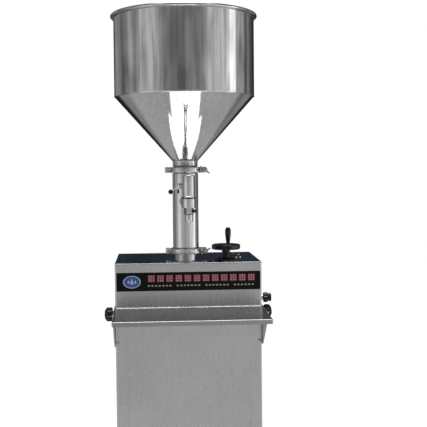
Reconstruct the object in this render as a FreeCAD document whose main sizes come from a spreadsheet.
import FreeCAD, Part
import math
import os
import re

import Sketcher

# Piston liquid filler, floor standing, one nozzle.
# Millimetres, +Z up. X runs to the operator's right and -Y towards the operator.
# The pieces are laid out about the axis of the dosing column and then moved back by
# axis_shift, which puts the origin on the floor under the middle of the whole machine.

SIZES = {
    "axis_shift": 91,
    # cabinet
    "plate_top": 880, "plate_thick": 3, "cab_half": 205, "cab_front": 170, "cab_back": 135,
    "cab_low": 45, "wall": 2, "panel_half": 170, "panel_low": 86, "panel_high": 714,
    "panel_gap": 1, "panel_lap": 12, "rear_half": 196, "rear_low": 60, "rear_high": 862,
    "label_half": 201, "label_drop": 25.5, "label_high": 52, "label_thick": 0.8,
    "screw_head": 2.4, "foot_x": 165, "foot_front": 130, "foot_back": 95, "foot_radius": 25,
    # dosing column and its two clamped joints
    "column_radius": 38.05, "column_bore": 31.5, "ferrule_radius": 38.75, "ferrule_edge": 3.7,
    "ferrule_root": 7.2, "neck_radius": 34, "groove_end": 9, "face_gap": 0.8,
    "low_joint": 19, "high_joint": 259, "spool_radius": 31.75,
    "clamp_radius": 46, "clamp_half": 8.5, "clamp_split": 0.75,
    "hinge_reach": 54.5, "knuckle_radius": 5.5, "pin_radius": 2.5,
    "bolt_reach": 57, "bolt_radius": 3, "eye_back": 9, "lug_end": 61, "lug_depth": 14,
    "wing_span": 16, "wing_thick": 4,
    # hopper
    "hopper_radius": 206, "hopper_wall": 1.5, "hopper_neck": 37, "cone_low": 285,
    "cone_high": 474.5, "rim_height": 707.2, "bead_radius": 5, "bead_circle": 210,
    # dosing piston, its rod and the drive cylinder
    "rod_radius": 10, "running_gap": 0.05, "piston_low": 35, "piston_high": 65,
    "drive_bore": 40, "drive_radius": 45, "drive_top": 835, "drive_low": 715,
    "cap_side": 95, "cap_thick": 30, "tie_offset": 38, "tie_radius": 4,
    "base_flange": 65, "flange_low": 865,
    # inlet valve in the top of the column
    "seat_low": 1126, "disc_radius": 28, "disc_thick": 6, "stem_radius": 4,
    "stem_top": 1178, "stem_nut": 1168,
    # outlet and nozzle
    "outlet_level": 168, "outlet_radius": 12.5, "outlet_bore": 10.5, "nozzle_reach": 224,
    "body_low": 155, "body_high": 181, "body_radius": 19, "air_low": 183.4, "air_high": 244,
    "air_radius": 17, "air_bore": 13.5, "needle_radius": 2.5, "passage": 8,
    "nut_low": 138.6, "spout_high": 137, "spout_low": 118.2, "tip_low": 114.6,
    "spout_radius": 11, "tip_radius": 5.5, "tip_bore": 4, "spout_bore": 9,
    "seat_step": 7.4, "seat_rise": 7,
    # bleed cock on the column
    "cock_level": 212, "cock_turn": 25, "cock_ball": 7, "ball_side": 24, "ball_drop": 17,
    # stroke adjuster
    "wheel_x": 126.5, "wheel_y": 80, "wheel_radius": 44, "wheel_low": 14, "wheel_high": 30,
    "screw_radius": 7, "hub_radius": 12.5, "handle_x": 9.2, "handle_y": 29,
    "handle_top": 79.5, "handle_radius": 9.3, "peg_radius": 3.5,
    "carriage_level": 780, "carriage_tall": 20, "guide_reach": 170, "guide_radius": 4,
    "guide_low": 640,
    # tray, its arms and the knobs on the side walls
    "tray_drop": 124, "tray_reach": 227, "tray_gap": 3.2, "tray_lip": 12.5, "side_gap": 0.3,
    "arm_thick": 3, "arm_front": 287, "arm_back": 104, "arm_low": 232,
    "knob_y": 140, "knob_drop": 145, "knob_radius": 20, "knob_near": 213, "knob_far": 236,
    "stud_radius": 5, "slot_radius": 5.3, "tray_up": 5, "tray_down": 120,
    "dial_y": 146, "dial_drop": 104, "dial_radius": 14.5,
}

doc = FreeCAD.newDocument("piston_filler")
sheet = doc.addObject("Spreadsheet::Sheet", "Sizes")
for row, (alias, size) in enumerate(SIZES.items(), start=1):
    sheet.set("A%d" % row, alias)
    sheet.set("B%d" % row, str(size))
    sheet.setAlias("B%d" % row, alias)
doc.recompute()

WORD = re.compile(r"[a-z_]+")
NODES = []


def cells(text):
    """Turn the size names in an expression into references to the sheet's cells."""
    return WORD.sub(lambda m: "Sizes." + m.group() if m.group() in SIZES else m.group(), str(text))


def number(text):
    """The present value of an expression, which places a sketch before it is solved."""
    value = sheet.evalExpression(cells(text))
    return float(getattr(value, "Value", value))


def bind(obj, **expressions):
    for name, text in expressions.items():
        obj.setExpression(name, cells(text))
    return obj


def put(obj, x=0, y=0, z=0):
    """Bind an object's place to the sheet."""
    for key, text in (("x", x), ("y", y), ("z", z)):
        if text != 0:
            obj.setExpression("Placement.Base." + key, cells(text))
    return obj


def node(name, obj):
    """Name a finished sub-part and place it in the machine's frame."""
    part = doc.addObject("Part::Compound", "Part")
    part.Links = [obj]
    part.Label = name
    NODES.append(put(part, y="axis_shift"))


def box(x0, x1, y0, y1, z0, z1):
    obj = doc.addObject("Part::Box", "Box")
    bind(obj, Length="(%s) - (%s)" % (x1, x0), Width="(%s) - (%s)" % (y1, y0),
         Height="(%s) - (%s)" % (z1, z0))
    return put(obj, x0, y0, z0)


AXES = {
    "z": FreeCAD.Rotation(),
    "x": FreeCAD.Rotation(FreeCAD.Vector(0, 1, 0), 90),
    "y": FreeCAD.Rotation(FreeCAD.Vector(1, 0, 0), -90),
}


def rod(radius, start, end, x=0, y=0, z=0, along="z"):
    """A cylinder from start to end along an axis, on a line through the other two places."""
    obj = doc.addObject("Part::Cylinder", "Cylinder")
    bind(obj, Radius=radius, Height="(%s) - (%s)" % (end, start))
    obj.Placement = FreeCAD.Placement(FreeCAD.Vector(), AXES[along])
    at = {"x": x, "y": y, "z": z}
    at[along] = start
    return put(obj, **at)


def prism(across, start, end, x=0, y=0, z=0, along="z"):
    """A hexagonal bar, sized by its corner radius."""
    obj = doc.addObject("Part::Prism", "Prism")
    obj.Polygon = 6
    bind(obj, Circumradius=across, Height="(%s) - (%s)" % (end, start))
    obj.Placement = FreeCAD.Placement(FreeCAD.Vector(), AXES[along])
    at = {"x": x, "y": y, "z": z}
    at[along] = start
    return put(obj, **at)


def ball(radius, x, y, z):
    obj = doc.addObject("Part::Sphere", "Sphere")
    bind(obj, Radius=radius)
    return put(obj, x, y, z)


def fuse(*shapes):
    obj = doc.addObject("Part::MultiFuse", "Fuse")
    obj.Shapes = list(shapes)
    return obj


def cut(base, *tools):
    for tool in tools:
        obj = doc.addObject("Part::Cut", "Cut")
        obj.Base = base
        obj.Tool = tool
        base = obj
    return base


def common(base, tool):
    obj = doc.addObject("Part::Common", "Common")
    obj.Base = base
    obj.Tool = tool
    return obj


def group(*solids):
    obj = doc.addObject("Part::Compound", "Group")
    obj.Links = list(solids)
    return obj


def turned(obj, degrees):
    """The same solid turned about the column's axis."""
    link = doc.addObject("Part::Compound", "Turned")
    link.Links = [obj]
    link.Placement = FreeCAD.Placement(FreeCAD.Vector(), FreeCAD.Rotation(FreeCAD.Vector(0, 0, 1), degrees))
    return link


def mirrored(obj):
    """The same solid on the other side of the plane of symmetry."""
    mirror = doc.addObject("Part::Mirroring", "Mirror")
    mirror.Source = obj
    mirror.Normal = FreeCAD.Vector(1, 0, 0)
    return mirror


def origin_plane(body, role):
    return next(plane for plane in body.Origin.OriginFeatures if plane.Role == role)


def new_sketch(body, role):
    sketch = body.newObject("Sketcher::SketchObject", "Sketch")
    sketch.AttachmentSupport = (origin_plane(body, role), [""])
    sketch.MapMode = "FlatFace"
    return sketch


def fix_point(sketch, geometry, corner, place):
    """Hold one point of a sketch at a place given by two expressions."""
    for kind, text in zip(("DistanceX", "DistanceY"), place):
        index = sketch.addConstraint(Sketcher.Constraint(kind, -1, 1, geometry, corner, number(text)))
        sketch.setExpression("Constraints[%d]" % index, cells(text))


def draw_outline(sketch, points):
    """A closed outline of straight sides through the points."""
    corners = [FreeCAD.Vector(number(u), number(v), 0) for u, v in points]
    first = sketch.GeometryCount
    for start, end in zip(corners, corners[1:] + corners[:1]):
        sketch.addGeometry(Part.LineSegment(start, end), False)
    count = len(corners)
    for side in range(count):
        following = first + (side + 1) % count
        sketch.addConstraint(Sketcher.Constraint("Coincident", first + side, 2, following, 1))
    for side, place in enumerate(points):
        fix_point(sketch, first + side, 1, place)


def draw_circle(sketch, u, v, radius):
    centre = FreeCAD.Vector(number(u), number(v), 0)
    circle = sketch.addGeometry(Part.Circle(centre, FreeCAD.Vector(0, 0, 1), number(radius)), False)
    fix_point(sketch, circle, 3, (u, v))
    index = sketch.addConstraint(Sketcher.Constraint("Radius", circle, number(radius)))
    sketch.setExpression("Constraints[%d]" % index, cells(radius))


def lathe(points, x=0, y=0, z=0):
    """A body turned about its own Z axis from (radius, height) points."""
    body = doc.addObject("PartDesign::Body", "Body")
    sketch = new_sketch(body, "XZ_Plane")
    draw_outline(sketch, points)
    turn = body.newObject("PartDesign::Revolution", "Revolution")
    turn.Profile = sketch
    turn.ReferenceAxis = (sketch, ["V_Axis"])
    turn.Angle = 360
    put(body, x, y, z)
    return body


def slab(role, points, length, holes=(), x=0, y=0, z=0):
    """A body padded from an outline on one of its origin planes."""
    body = doc.addObject("PartDesign::Body", "Body")
    sketch = new_sketch(body, role)
    draw_outline(sketch, points)
    for u, v, radius in holes:
        draw_circle(sketch, u, v, radius)
    pad = body.newObject("PartDesign::Pad", "Pad")
    pad.Profile = sketch
    bind(pad, Length=length)
    put(body, x, y, z)
    return body


def rectangle(u0, u1, v0, v1):
    return [(u0, v0), (u1, v0), (u1, v1), (u0, v1)]


def spring(radius, wire, pitch, height, x, y, z):
    """A coil spring: a round wire swept along a helix."""
    helix = doc.addObject("Part::Helix", "Helix")
    bind(helix, Radius=radius, Pitch=pitch, Height=height)
    put(helix, x, y, z)
    section = doc.addObject("Part::Circle", "Section")
    bind(section, Radius=wire)
    section.Placement = FreeCAD.Placement(FreeCAD.Vector(), FreeCAD.Rotation(FreeCAD.Vector(1, 0, 0), 90))
    put(section, "(%s) + (%s)" % (x, radius), y, z)
    sweep = doc.addObject("Part::Sweep", "Sweep")
    sweep.Sections = [section]
    sweep.Spine = helix
    sweep.Solid = True
    sweep.Frenet = True
    return sweep


# ---------------------------------------------------------------- cabinet

def make_cabinet(screw_holes):
    low, high = "cab_low", "plate_top - plate_thick"
    outer = box("-cab_half", "cab_half", "-cab_front", "cab_back", low, high)
    inner = box("-cab_half + wall", "cab_half - wall", "-cab_front + wall", "cab_back - 2 * wall",
                "cab_low - 1", "plate_top")
    rear_recess = box("-cab_half + wall", "cab_half - wall", "cab_back - wall", "cab_back + 1",
                      "cab_low - 1", "plate_top")
    rear_window = box("-rear_half + 22", "rear_half - 22", "cab_back - 3 * wall", "cab_back",
                      "rear_low + 22", "rear_high - 22")
    window = box("-panel_half - panel_gap", "panel_half + panel_gap", "-cab_front - 1",
                 "-cab_front + wall + 1", "panel_low - panel_gap", "panel_high + panel_gap")
    slots = []
    for side in ("-cab_half - 1", "cab_half - wall - 1"):
        bottom = "plate_top - knob_drop - tray_down"
        top = "plate_top - knob_drop + tray_up"
        slots.append(box(side, side + " + wall + 2", "-knob_y - slot_radius", "-knob_y + slot_radius",
                         bottom, top))
        for end in (bottom, top):
            slots.append(rod("slot_radius", side, side + " + wall + 2", y="-knob_y", z=end, along="x"))
    dial_hole = rod(6, "cab_half - wall - 1", "cab_half + 1", y="-dial_y", z="plate_top - dial_drop",
                    along="x")
    shell = cut(outer, inner, rear_recess, rear_window, window, dial_hole, *slots)
    # angle strips behind the front opening, which the panel's edge rests on
    frame = cut(
        box("-panel_half - panel_lap", "panel_half + panel_lap", "-cab_front + wall",
            "-cab_front + 2 * wall", "panel_low - panel_lap", "panel_high + panel_lap"),
        box("-panel_half + panel_lap", "panel_half - panel_lap", "-cab_front", "-cab_front + 3 * wall",
            "panel_low + panel_lap", "panel_high - panel_lap"))
    node("cabinet_shell", cut(fuse(shell, frame), screw_holes))

    panel = slab("XZ_Plane", rectangle("-panel_half", "panel_half", "panel_low", "panel_high"), "wall",
                 y="-cab_front + wall")
    node("front_panel", cut(panel, screw_holes))

    top = slab("XY_Plane", rectangle("-cab_half", "cab_half", "-cab_front", "cab_back"), "plate_thick",
               holes=[(0, 0, "spool_radius"), ("wheel_x", "wheel_y", "hub_radius - 1.5")],
               z="plate_top - plate_thick")
    node("top_plate", cut(top, screw_holes))

    corners = [(sx + "foot_x", y) for sx in ("", "-") for y in ("-foot_front", "foot_back")]
    base = slab("XY_Plane", rectangle("-cab_half + wall", "cab_half - wall", "-cab_front + wall",
                                      "cab_back - 2 * wall"),
                3, holes=[(x, y, 6.5) for x, y in corners], z="cab_low")
    node("base_plate", base)
    feet = [lathe([(0, 0), ("foot_radius", 0), ("foot_radius", 8), (11, 14), (11, 18), (6, 18),
                   (6, 62), (0, 62)], x, y) for x, y in corners]
    nuts = [prism(11, "cab_low - 10", "cab_low", x, y) for x, y in corners]
    node("levelling_feet", group(*[fuse(foot, nut) for foot, nut in zip(feet, nuts)]))

    node("label_plate", box("-label_half", "label_half", "-cab_front - label_thick", "-cab_front",
                            "plate_top - label_drop - label_high", "plate_top - label_drop"))


def make_rear_cover(screw_holes):
    body = doc.addObject("PartDesign::Body", "Body")
    sketch = new_sketch(body, "XZ_Plane")
    draw_outline(sketch, rectangle("-rear_half", "rear_half", "rear_low", "rear_high"))
    draw_circle(sketch, -120, 200, 8.2)
    pad = body.newObject("PartDesign::Pad", "Pad")
    pad.Profile = sketch
    bind(pad, Length="wall")
    slot = new_sketch(body, "XZ_Plane")
    draw_outline(slot, rectangle(-60, 60, 620, 625))
    pocket = body.newObject("PartDesign::Pocket", "Pocket")
    pocket.Profile = slot
    pocket.Type = "ThroughAll"
    pocket.Midplane = True
    doc.recompute()
    rows = body.newObject("PartDesign::LinearPattern", "Louvres")
    rows.Originals = [pocket]
    rows.Direction = (slot, ["V_Axis"])
    rows.Length = 120
    rows.Occurrences = 9
    body.Tip = rows
    put(body, y="cab_back")
    node("rear_cover", cut(body, screw_holes))

    inlet = cut(fuse(rod(8, "cab_back - 14", "cab_back + 5", -120, 0, 200, "y"),
                     prism(12, "cab_back", "cab_back + 10", -120, 0, 200, "y"),
                     prism(12, "cab_back - 8", "cab_back - wall", -120, 0, 200, "y")),
                rod(5.8, "cab_back - 4", "cab_back + 11", -120, 0, 200, "y"),
                rod(4, "cab_back - 15", "cab_back", -120, 0, 200, "y"))
    node("air_inlet", inlet)


def dome_screw(x, y, z, along, out):
    """A round-headed screw and its hole: the head stands out and the shank goes the other way."""
    if out:
        head, shank = ("%s", "%s + screw_head"), ("%s - 7", "%s")
    else:
        head, shank = ("%s - screw_head", "%s"), ("%s", "%s + 7")
    face = {"x": x, "y": y, "z": z}[along]
    solids = []
    for radius, (start, end) in ((4, head), (2, shank), (2, shank)):
        solids.append(rod(radius, start % face, end % face, x, y, z, along))
    return fuse(*solids[:2]), solids[2]


def make_screws():
    """All the cabinet's screws in one group, and the holes that the sheets get for them."""
    places = []
    for x in ("-rear_half + 9", "rear_half - 9"):
        for z in ("rear_low + 12", "(rear_low + rear_high) / 2", "rear_high - 12"):
            places.append((x, "cab_back", z, "y", True))
    for x in ("-panel_half + 6", "panel_half - 6"):
        for z in ("panel_low + 6", "panel_high - 6"):
            places.append((x, "-cab_front", z, "y", False))
    for x in ("-cab_half + 7", "cab_half - 7"):
        places.append((x, "-cab_front", "plate_top - 221", "y", False))
    for x, y in ((147, -33), (158, -33), (162, 54), (150, 108)):
        places.append((x, y, "plate_top", "z", True))
    screws, holes = zip(*[dome_screw(*place) for place in places])
    node("cover_screws", group(*screws))
    return group(*holes)


# ---------------------------------------------------------------- dosing column

def ferrule(face, way):
    """Half outline of a clamped joint's tapered flange, from its face outwards."""
    sign = "+" if way > 0 else "-"
    return [("ferrule_radius", face),
            ("ferrule_radius", "(%s) %s (ferrule_edge - face_gap)" % (face, sign)),
            ("neck_radius", "(%s) %s (ferrule_root - face_gap)" % (face, sign)),
            ("neck_radius", "(%s) %s (groove_end - face_gap)" % (face, sign))]


def make_column():
    low_face = "plate_top + low_joint - face_gap"
    top, taper, root, _ = ferrule(low_face, -1)
    base = lathe([("rod_radius + 5", "flange_low"), ("base_flange", "flange_low"),
                  ("base_flange", "plate_top - plate_thick"), ("spool_radius", "plate_top - plate_thick"),
                  ("spool_radius", root[1]), root, taper, top, (26, low_face), (26, "plate_top + 5"),
                  ("rod_radius + 5", "plate_top + 5")])
    sockets = [rod("tie_radius + 0.1", "flange_low - 1", "flange_low + 4", x, y)
               for x in ("-tie_offset", "tie_offset") for y in ("-tie_offset", "tie_offset")]
    node("column_base", cut(base, *sockets))
    bush = lathe([("rod_radius + running_gap", "flange_low"), ("rod_radius + 5", "flange_low"),
                  ("rod_radius + 5", "plate_top + 5"), ("rod_radius + 8", "plate_top + 5"),
                  ("rod_radius + 8", "plate_top + 8"), ("rod_radius + running_gap", "plate_top + 8")])
    node("rod_bush", bush)

    low = ferrule("plate_top + low_joint + face_gap", 1)
    high = ferrule("plate_top + high_joint - face_gap", -1)
    tube = lathe([("column_bore", low[0][1])] + low + [("column_radius", low[3][1])]
                 + [("column_radius", high[3][1])] + high[::-1]
                 + [("neck_radius", high[0][1]), ("neck_radius", high[0][1] + " - 3"),
                    ("column_bore", high[0][1] + " - 3")])
    level = "plate_top + outlet_level"
    branch = rod("outlet_radius", "-78", "-column_bore - 2", z=level, along="y")
    thread = rod("outlet_radius + 2.5", "-78", "-62", z=level, along="y")
    boss = cock_axis_rod(9, 33, 41)
    bores = [rod("outlet_bore", "-79", "0", z=level, along="y"), cock_axis_rod(4, 0, 42),
             rod("column_bore", low[0][1], high[0][1])]
    node("dosing_cylinder", cut(fuse(tube, branch, thread, boss), *bores))

    gaskets = []
    for joint in ("low_joint", "high_joint"):
        middle = "plate_top + " + joint
        gaskets.append(cut(rod("ferrule_radius - 0.2", middle + " - face_gap", middle + " + face_gap"),
                           rod("hopper_neck - 1.5", middle + " - 2", middle + " + 2")))
    node("clamp_gaskets", group(*gaskets))


def cock_axis_rod(radius, start, end):
    """A cylinder pointing out of the column's front left, where the bleed cock sits."""
    obj = doc.addObject("Part::Cylinder", "Cylinder")
    bind(obj, Radius=radius, Height="(%s) - (%s)" % (end, start))
    turn = number("cock_turn")
    obj.Placement = FreeCAD.Placement(FreeCAD.Vector(), FreeCAD.Rotation(-turn, 0, 90))
    return put(obj, "-(%s) * sin(cock_turn * 1 deg)" % start, "-(%s) * cos(cock_turn * 1 deg)" % start,
               "plate_top + cock_level")


def clamp_half(joint, front):
    """Half of a clamp ring, with a hinge knuckle at the left and bolt lugs at the right."""
    middle = "plate_top + " + joint
    ring = lathe([("neck_radius + 0.3", "-clamp_half"), ("clamp_radius", "-clamp_half"),
                  ("clamp_radius", "clamp_half"), ("neck_radius + 0.3", "clamp_half"),
                  ("neck_radius + 0.3", "ferrule_root + 0.2"),
                  ("ferrule_radius + 0.15", "ferrule_edge + 0.15"),
                  ("ferrule_radius + 0.15", "-ferrule_edge - 0.15"),
                  ("neck_radius + 0.3", "-ferrule_root - 0.2")], z=middle)
    near, far = ("-clamp_radius - 1", "-clamp_split") if front else ("clamp_split", "clamp_radius + 1")
    kept = common(ring, box("-clamp_radius - 1", "clamp_radius + 1", near, far,
                            middle + " - clamp_half - 1", middle + " + clamp_half + 1"))
    lug = box("clamp_radius - 5", "lug_end", "-lug_depth" if front else "3.5",
              "-3.5" if front else "lug_depth", middle + " - clamp_half", middle + " + clamp_half")
    bore = rod("ferrule_radius + 2", middle + " - 20", middle + " + 20")
    slot = box("clamp_radius + 2.5", "lug_end + 1", "-lug_depth - 1" if front else "0",
               "0" if front else "lug_depth + 1", middle + " - bolt_radius - 0.8",
               middle + " + bolt_radius + 0.8")
    # the front half holds the upper knuckle of the hinge and the rear half the lower one
    start, end = ("0.1", "clamp_half") if front else ("-clamp_half", "-0.1")
    knuckle = rod("knuckle_radius", "%s + %s" % (middle, start), "%s + %s" % (middle, end),
                  "-hinge_reach")
    strap = box("-hinge_reach", "-clamp_radius + 3", "-5" if front else "clamp_split",
                "-clamp_split" if front else "5",
                "%s + %s" % (middle, start), "%s + %s" % (middle, end))
    pin_hole = rod("pin_radius", middle + " - 20", middle + " + 20", "-hinge_reach")
    tools = [slot, pin_hole]
    if not front:
        tools.append(rod("pin_radius", middle + " - 20", middle + " + 20", "bolt_reach", "eye_back"))
    return cut(fuse(kept, cut(lug, bore), knuckle, cut(strap, bore)), *tools)


def make_clamps():
    for name, front in (("clamp_front_halves", True), ("clamp_rear_halves", False)):
        node(name, group(clamp_half("low_joint", front), clamp_half("high_joint", front)))
    pins = []
    for joint in ("low_joint", "high_joint"):
        middle = "plate_top + " + joint
        for x, y in (("-hinge_reach", "0"), ("bolt_reach", "eye_back")):
            pins.append(rod("pin_radius", middle + " - clamp_half", middle + " + clamp_half", x, y))
    node("clamp_pins", group(*pins))
    for name, joint, tilt in (("lower", "low_joint", -32), ("upper", "high_joint", 38)):
        middle = "plate_top + " + joint
        eye = rod("5", middle + " - bolt_radius - 0.4", middle + " + bolt_radius + 0.4", "bolt_reach",
                  "eye_back")
        shank = rod("bolt_radius", "-34", "eye_back", "bolt_reach", z=middle, along="y")
        hole = rod("pin_radius + running_gap", middle + " - 9", middle + " + 9", "bolt_reach",
                   "eye_back")
        node(name + "_swing_bolt", cut(fuse(eye, shank), hole))
        node(name + "_wing_nut", wing_nut(middle, tilt))


def wing_nut(middle, tilt):
    """A nut on the swing bolt with two flared wings, which stand clear of the ring."""
    bore = "bolt_radius + running_gap"
    hub = lathe([(bore, 0), (8, 0), (8, 2), (6, 15), (bore, 15)])
    wing = [(5.5, 8.5), ("wing_span", 11), ("wing_span + 1", 15), ("wing_span - 1", 19.5), (10, 19),
            (5.2, 14)]
    wings = slab("XZ_Plane", wing, "wing_thick", y="wing_thick / 2")
    pair = fuse(hub, wings, mirrored(wings))
    link = doc.addObject("Part::Compound", "Nut")
    link.Links = [pair]
    turn = FreeCAD.Rotation(FreeCAD.Vector(0, 1, 0), tilt)
    link.Placement = FreeCAD.Placement(FreeCAD.Vector(), turn * FreeCAD.Rotation(FreeCAD.Vector(1, 0, 0), 90))
    return put(link, "bolt_reach", -15, middle)


def make_hopper():
    face = "plate_top + high_joint + face_gap"
    flange, taper, root, groove = ferrule(face, 1)
    inner_neck = "hopper_neck - hopper_wall"
    inner = "hopper_radius - hopper_wall"
    shift = "0.7 * hopper_wall"
    top = "plate_top + rim_height - bead_radius / 2"
    shell = lathe([("column_bore", face), flange, taper, root, groove, ("hopper_neck", groove[1] + " + 2"),
                   ("hopper_neck", "plate_top + cone_low"), ("hopper_radius", "plate_top + cone_high"),
                   ("hopper_radius", top), (inner, top), (inner, "plate_top + cone_high + " + shift),
                   (inner_neck, "plate_top + cone_low + " + shift), (inner_neck, groove[1] + " + 4"),
                   ("column_bore", groove[1] + " + 1")])
    bead = doc.addObject("Part::Torus", "Bead")
    bind(bead, Radius1="bead_circle", Radius2="bead_radius")
    put(bead, z="plate_top + rim_height")
    node("hopper", fuse(shell, bead))


def make_inlet_valve():
    top = "plate_top + high_joint - face_gap"
    edge = "column_bore - 0.1"
    seat = lathe([(22, "seat_low"), (edge, "seat_low"), (edge, top + " - 3"),
                  ("neck_radius - 0.1", top + " - 3"), ("neck_radius - 0.1", top), (25, top)])
    hub = rod("stem_radius + 3", "seat_low + 3", top)
    bars = [box("-24", "24", "-2", "2", "seat_low + 3", top),
            box("-2", "2", "-24", "24", "seat_low + 3", top)]
    hole = rod("stem_radius + running_gap", "seat_low", top + " + 1")
    node("inlet_valve_seat", cut(fuse(seat, hub, *bars), hole))
    under = "seat_low - disc_thick"
    disc = lathe([(0, under), ("disc_radius - 4", under), ("disc_radius", "seat_low - 2"),
                  ("disc_radius", "seat_low"), ("stem_radius", "seat_low"), ("stem_radius", "stem_top"),
                  (0, "stem_top")])
    node("inlet_valve_disc", disc)
    coil = spring(7.5, 0.9, 4.5, 27, 0, 0, top + " + 1")
    node("inlet_valve_spring", coil)
    nut = cut(prism(8.5, "stem_nut", "stem_nut + 6"), rod("stem_radius", "stem_nut - 8", "stem_top + 2"))
    node("inlet_valve_nut", nut)


# ---------------------------------------------------------------- piston and drive cylinder

def make_piston():
    low, high = "plate_top + piston_low", "plate_top + piston_high"
    radius = "column_bore - 0.3"
    groove = "column_bore - 2.5"
    outline = [(0, low), (radius, low)]
    for start in (6, 20):
        outline += [(radius, "%s + %d" % (low, start)), (groove, "%s + %d" % (low, start)),
                    (groove, "%s + %d" % (low, start + 4)), (radius, "%s + %d" % (low, start + 4))]
    outline += [(radius, high), (0, high)]
    socket = rod("rod_radius", low + " - 1", low + " + 15")
    node("piston_head", cut(lathe(outline), socket))
    seals = [cut(rod("column_bore - running_gap", "%s + %d" % (low, start), "%s + %d" % (low, start + 4)),
                 rod(groove, low, high)) for start in (6, 20)]
    node("piston_seals", group(*seals))
    node("piston_rod", rod("rod_radius", "drive_low + 5", low + " + 15"))
    drive = cut(rod("drive_bore - running_gap", "drive_low + 5", "drive_low + 30"),
                rod("rod_radius", "drive_low", "drive_top"))
    node("drive_piston", drive)


def make_drive_cylinder():
    node("drive_barrel", cut(rod("drive_radius", "drive_low", "drive_top"),
                             rod("drive_bore", "drive_low - 1", "drive_top + 1")))
    half = "cap_side / 2"
    corners = [(x, y) for x in ("-tie_offset", "tie_offset") for y in ("-tie_offset", "tie_offset")]
    caps = []
    for start, bore in (("drive_top", "rod_radius + running_gap"), ("drive_low - cap_thick", "6")):
        block = box("-" + half, half, "-" + half, half, start, start + " + cap_thick")
        holes = [rod("tie_radius + 0.1", start + " - 1", start + " + cap_thick + 1", x, y)
                 for x, y in corners]
        caps.append(cut(block, rod(bore, start + " - 1", start + " + cap_thick + 1"), *holes))
    node("cylinder_caps", group(*caps))
    rods = []
    for x, y in corners:
        bar = rod("tie_radius", "drive_low - cap_thick - 9", "flange_low + 4", x, y)
        nut = prism(7.5, "drive_low - cap_thick - 6", "drive_low - cap_thick", x, y)
        rods.append(fuse(bar, nut))
    node("tie_rods", group(*rods))


# ---------------------------------------------------------------- outlet and nozzle

def make_nozzle():
    level = "plate_top + outlet_level"
    front = "-nozzle_reach"
    tube = cut(rod("outlet_radius", "-nozzle_reach + 13", "-78", z=level, along="y"),
               rod("outlet_bore", "-nozzle_reach", "-70", z=level, along="y"))
    node("outlet_tube", tube)
    union = cut(prism(22, "-92", "-64", z=level, along="y"),
                rod("outlet_radius + 2.5", "-88", "-60", z=level, along="y"),
                rod("outlet_radius", "-95", "-60", z=level, along="y"))
    node("outlet_union_nut", union)

    low, high = "plate_top + body_low", "plate_top + body_high"
    body = cut(rod("body_radius", low, high, y=front),
               rod("passage", low + " - 1", high + " - 5", y=front),
               rod("needle_radius + running_gap", low, high + " + 1", y=front),
               rod("outlet_bore", front, "-nozzle_reach + 25", z=level, along="y"),
               rod("outlet_radius", "-nozzle_reach + 13", "-nozzle_reach + 25", z=level, along="y"))
    node("nozzle_body", body)

    air_low, air_high = "plate_top + air_low", "plate_top + air_high"
    barrel = lathe([("air_bore", air_low), ("air_radius + 1", air_low), ("air_radius + 1", air_low + " + 3"),
                    ("air_radius", air_low + " + 4"), ("air_radius", air_high + " - 3"),
                    ("air_radius - 1.5", air_high), (0, air_high), (0, air_high + " - 5"),
                    ("air_bore", air_high + " - 5")], y=front)
    ports = [rod(3, front + " + air_bore - 1", front + " + air_radius + 2", z=z, along="y")
             for z in (air_low + " + 7", air_high + " - 11")]
    node("nozzle_air_cylinder", cut(barrel, *ports))
    fittings = []
    for z in (air_low + " + 7", air_high + " - 11"):
        stub = fuse(rod(3, front + " + air_bore + 1", front + " + air_radius + 3", z=z, along="y"),
                    prism(5.8, front + " + air_radius + 1.05", front + " + air_radius + 5", z=z, along="y"),
                    rod(4.6, front + " + air_radius + 5", front + " + air_radius + 13", z=z, along="y"))
        fittings.append(cut(stub, rod(2, front, front + " + air_radius + 14", z=z, along="y")))
    node("nozzle_air_fittings", group(*fittings))

    ring = cut(rod("body_radius + 0.3", high, air_low, y=front), rod("air_bore", high + " - 1", air_high,
                                                                    y=front))
    seal = cut(rod("spout_radius + 0.3", "plate_top + spout_high", "plate_top + nut_low", y=front),
               rod("spout_bore", "plate_top + spout_high - 1", "plate_top + nut_low + 1", y=front))
    node("nozzle_seals", group(ring, seal))

    seat = "plate_top + tip_low + seat_step"
    plunger = lathe([(0, seat + " + 0.1"), ("tip_bore - 0.2", seat + " + 0.1"),
                     ("tip_bore + 3.3", seat + " + 5.15"), ("tip_bore + 3.3", seat + " + 9"),
                     ("needle_radius", seat + " + 12"), ("needle_radius", air_low + " + 2.6"),
                     ("air_bore - running_gap", air_low + " + 2.6"),
                     ("air_bore - running_gap", air_low + " + 10.6"), (0, air_low + " + 10.6")], y=front)
    node("nozzle_plunger", plunger)
    node("nozzle_spring", spring(9, 1, 5.2, 40, 0, front, air_low + " + 12.6"))

    nut = cut(prism("spout_radius + 2.9", "plate_top + nut_low", low, y=front),
              rod("spout_bore", "plate_top + nut_low - 1", low + " + 1", y=front),
              rod(2, "spout_bore - 1", "20", y=front, z="plate_top + nut_low + 8", along="x"))
    node("spout_nut", nut)
    screw = fuse(rod(2, "spout_bore + 0.5", "15", y=front, z="plate_top + nut_low + 8", along="x"),
                 rod(4.5, "14.2", "21.5", y=front, z="plate_top + nut_low + 8", along="x"))
    node("spout_lock_screw", screw)
    spout = lathe([("tip_bore", "plate_top + tip_low"), ("tip_radius", "plate_top + tip_low"),
                   ("tip_radius", "plate_top + spout_low"), ("spout_radius - 1", "plate_top + spout_low"),
                   ("spout_radius", "plate_top + spout_low + 1"), ("spout_radius", "plate_top + spout_high"),
                   ("spout_bore", "plate_top + spout_high"), ("spout_bore", seat + " + seat_rise"),
                   ("tip_bore", seat)], y=front)
    node("spout", spout)


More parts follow.
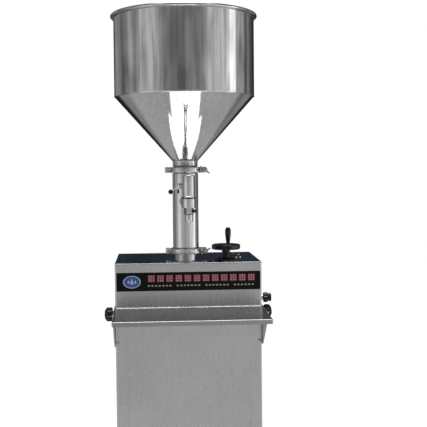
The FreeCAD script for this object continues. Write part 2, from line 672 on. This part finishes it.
def make_bleed_cock():
    body = fuse(cock_axis_rod(7, 41, 52), cock_axis_rod(8.5, 42, 46))
    node("cock_body", cut(body, cock_axis_rod("2.5 + running_gap", 40, 53)))
    # the lever lies in a plane square to the cock's axis, towards the left and down
    swing = math.degrees(math.atan2(number("ball_drop"), number("ball_side")))
    reach = "sqrt(ball_side ^ 2 + ball_drop ^ 2)"
    hub = rod(5.5, 52.2, 56.2, along="y")
    stem = rod(2.5, 43, 56, along="y")
    bar = box(0, reach + " - cock_ball + 1", 52.7, 55.7, -2.5, 2.5)
    lever = fuse(hub, stem, bar)
    knob = ball("cock_ball", reach, 54.2, 0)
    turn = FreeCAD.Rotation(FreeCAD.Vector(0, 0, 1), 180 - number("cock_turn"))
    tip = FreeCAD.Rotation(FreeCAD.Vector(0, 1, 0), swing)
    for name, shape in (("cock_lever", cut(lever, knob)), ("cock_ball", knob)):
        link = doc.addObject("Part::Compound", "Lever")
        link.Links = [shape]
        link.Placement = FreeCAD.Placement(FreeCAD.Vector(), turn * tip)
        node(name, put(link, z="plate_top + cock_level"))


# ---------------------------------------------------------------- stroke adjuster

def make_handwheel():
    low, high = "wheel_low", "wheel_high"
    body = doc.addObject("PartDesign::Body", "Body")
    sketch = new_sketch(body, "XZ_Plane")
    draw_outline(sketch, [("screw_radius", low), (13, low), (13, low + " + 4"), (33, low + " + 4"),
                          (35, low), ("wheel_radius - 3", low), ("wheel_radius", low + " + 4"),
                          ("wheel_radius", high + " - 5"), ("wheel_radius - 4", high), (36, high),
                          (33, low + " + 12"), (13, low + " + 12"), (12, high), ("screw_radius", high)])
    turn = body.newObject("PartDesign::Revolution", "Revolution")
    turn.Profile = sketch
    turn.ReferenceAxis = (sketch, ["V_Axis"])
    turn.Angle = 360
    doc.recompute()
    dent = new_sketch(body, "XY_Plane")
    draw_circle(dent, "wheel_radius + 7.5", 2, 9)
    pocket = body.newObject("PartDesign::Pocket", "Dent")
    pocket.Profile = dent
    pocket.Type = "ThroughAll"
    pocket.Midplane = True
    doc.recompute()
    dents = body.newObject("PartDesign::PolarPattern", "Dents")
    dents.Originals = [pocket]
    dents.Axis = (dent, ["N_Axis"])
    dents.Angle = 360
    dents.Occurrences = 10
    body.Tip = dents
    put(body, "wheel_x", "wheel_y", "plate_top")
    peg = rod("peg_radius", "plate_top + wheel_low + 8", "plate_top + handle_top - 7",
              "wheel_x + handle_x", "wheel_y + handle_y")
    node("handwheel", fuse(body, peg))

    start = "wheel_high + 0.6"
    handle = lathe([("peg_radius + running_gap", start), (6, start), (6.3, "wheel_high + 8"),
                    (8.4, "wheel_high + 20"), ("handle_radius", "wheel_high + 30"),
                    (9, "handle_top - 8"), (7, "handle_top - 2.5"), (4, "handle_top"), (0, "handle_top"),
                    (0, "handle_top - 6.5"), ("peg_radius + running_gap", "handle_top - 6.5")],
                   "wheel_x + handle_x", "wheel_y + handle_y", "plate_top")
    node("wheel_handle", handle)


def make_adjuster():
    x, y = "wheel_x", "wheel_y"
    bearing = lathe([("screw_radius + running_gap", "-20"), ("hub_radius - 1.5", "-20"),
                     ("hub_radius - 1.5", 0), ("hub_radius", 0), ("hub_radius", "wheel_low - 0.5"),
                     ("screw_radius + running_gap", "wheel_low - 0.5")], x, y, "plate_top")
    node("screw_bearing", bearing)
    collar = rod("screw_radius + 4", "plate_top - 24", "plate_top - 20.5", x, y)
    node("adjusting_screw", fuse(rod("screw_radius", "guide_low", "plate_top + wheel_high", x, y), collar))

    # the carriage lies on the line from the cylinder through the screw to the guide rod
    angle = math.degrees(math.atan2(number(y), number(x)))
    reach = "sqrt(wheel_x ^ 2 + wheel_y ^ 2)"
    low, high = "carriage_level - carriage_tall / 2", "carriage_level + carriage_tall / 2"
    block = box(reach + " - 14", "guide_reach + 8", "-12", "12", low, high)
    arm = box("drive_radius + 2", reach + " - 14", "-6", "6", low, high)
    holes = [rod("screw_radius + running_gap", low + " - 1", high + " + 1", reach),
             rod("guide_radius + running_gap", low + " - 1", high + " + 1", "guide_reach")]
    node("sensor_carriage", turned(cut(fuse(block, arm), *holes), angle))
    foot = box(reach + " - 13", "guide_reach + 8", "-12", "12", "guide_low", "guide_low + 8")
    guide = rod("guide_radius", "guide_low + 4", "plate_top - plate_thick", "guide_reach")
    flange = rod(9, "plate_top - plate_thick - 5", "plate_top - plate_thick", "guide_reach")
    hole = rod("screw_radius + running_gap", "guide_low - 1", "guide_low + 9", reach)
    node("guide_rod", turned(cut(fuse(foot, guide, flange), hole), angle))


# ---------------------------------------------------------------- tray, knobs and controls

def star(radius, lobes, bite, thick, along):
    """A lobed knob head: a disc with round bites out of its rim, its near face at x = 0."""
    body = doc.addObject("PartDesign::Body", "Body")
    sketch = new_sketch(body, "YZ_Plane")
    draw_circle(sketch, 0, 0, radius)
    pad = body.newObject("PartDesign::Pad", "Pad")
    pad.Profile = sketch
    bind(pad, Length=thick)
    doc.recompute()
    notch = new_sketch(body, "YZ_Plane")
    draw_circle(notch, "(%s) + (%s) * 0.45" % (radius, bite), 0.5, bite)
    pocket = body.newObject("PartDesign::Pocket", "Notch")
    pocket.Profile = notch
    pocket.Type = "ThroughAll"
    pocket.Midplane = True
    doc.recompute()
    notches = body.newObject("PartDesign::PolarPattern", "Notches")
    notches.Originals = [pocket]
    notches.Axis = (notch, ["N_Axis"])
    notches.Angle = 360
    notches.Occurrences = lobes
    body.Tip = notches
    return put(body, *along)


def make_tray():
    half = "cab_half + side_gap"
    front, back = "-cab_front - tray_reach", "-cab_front - tray_gap"
    top = "plate_top - tray_drop"
    outer = box("-(%s)" % half, half, front, back, top + " - tray_lip", top)
    inner = box("-(%s) + wall" % half, half + " - wall", front + " + wall", back + " + 1",
                top + " - tray_lip - 1", top + " - wall")
    node("tray", cut(outer, inner))
    outline = [("-arm_front", top), ("-arm_back", top), ("-arm_back", "plate_top - 172"),
               ("-arm_back - 44", "plate_top - arm_low"), ("-cab_front - 4", "plate_top - arm_low"),
               ("-arm_front", top + " - tray_lip")]
    arm = slab("YZ_Plane", outline, "arm_thick", holes=[("-knob_y", "plate_top - knob_drop",
                                                         "stud_radius + 0.2")], x=half)
    node("tray_arms", group(arm, mirrored(arm)))
    nut = cut(box("cab_half - wall - 8", "cab_half - wall - 0.3", "-knob_y - 10", "-knob_y + 10",
                  "plate_top - knob_drop - 10", "plate_top - knob_drop + 10"),
              rod("stud_radius + running_gap", "cab_half - 20", "cab_half", y="-knob_y",
                  z="plate_top - knob_drop", along="x"))
    node("slot_nuts", group(nut, mirrored(nut)))

    level = "plate_top - knob_drop"
    head = star("knob_radius", 6, 6.5, "knob_far - knob_near", ("knob_near", "-knob_y", level))
    hub = rod(9, "cab_half + side_gap + arm_thick", "knob_near", y="-knob_y", z=level, along="x")
    stud = rod("stud_radius", "cab_half - wall - 11", "knob_near + 8", y="-knob_y", z=level, along="x")
    knob = fuse(head, hub, stud)
    node("right_star_knob", knob)
    node("left_star_knob", mirrored(knob))


def make_controls():
    level = "plate_top - dial_drop"
    body = fuse(box("cab_half - wall - 26", "cab_half - wall", "-dial_y - 15", "-dial_y + 15",
                    level + " - 15", level + " + 13"),
                rod(5.8, "cab_half - wall - 1", "cab_half", y="-dial_y", z=level, along="x"),
                rod(8, "cab_half", "cab_half + 4.5", y="-dial_y", z=level, along="x"))
    spindle_hole = rod("3 + running_gap", "cab_half - 20", "cab_half + 5", y="-dial_y", z=level, along="x")
    node("throttle_valve", cut(body, spindle_hole))
    head = star("dial_radius", 7, 4, 13, ("cab_half + 7", "-dial_y", level))
    knob = fuse(head, rod(3, "cab_half - 18", "cab_half + 8", y="-dial_y", z=level, along="x"),
                rod(6, "cab_half + 5", "cab_half + 24", y="-dial_y", z=level, along="x"),
                rod("dial_radius - 2.5", "cab_half + 22", "cab_half + 29", y="-dial_y", z=level, along="x"))
    node("throttle_knob", knob)

    # five-port valve on the left wall: body, two pilot caps and its ports
    inside = "-cab_half + wall"
    valve = fuse(box(inside, inside + " + 26", -20, 60, 560, 590),
                 rod(11, -34, -19, inside + " + 13", 0, 575, "y"),
                 rod(11, 59, 74, inside + " + 13", 0, 575, "y"),
                 *[prism(6, inside + " + 25", inside + " + 34", 0, y, 575, "x") for y in (0, 20, 40)])
    node("control_valve", valve)


screw_holes = make_screws()
make_cabinet(screw_holes)
make_rear_cover(screw_holes)
make_column()
make_clamps()
make_hopper()
make_inlet_valve()
make_piston()
make_drive_cylinder()
make_nozzle()
make_bleed_cock()
make_handwheel()
make_adjuster()
make_tray()
make_controls()
doc.recompute()

broken = [obj.Label for obj in doc.Objects if {"Invalid", "Error"} & set(obj.State)]
if broken:
    raise RuntimeError("objects that failed: " + ", ".join(broken))
for part in NODES:
    if part.Shape.isNull() or not part.Shape.isValid() or not part.Shape.Solids:
        raise RuntimeError("bad shape: " + part.Label)

os.makedirs("parts", exist_ok=True)
for part in NODES:
    part.Shape.exportStep("parts/%s.step" % part.Label)
print(len(NODES), "sub-parts written")
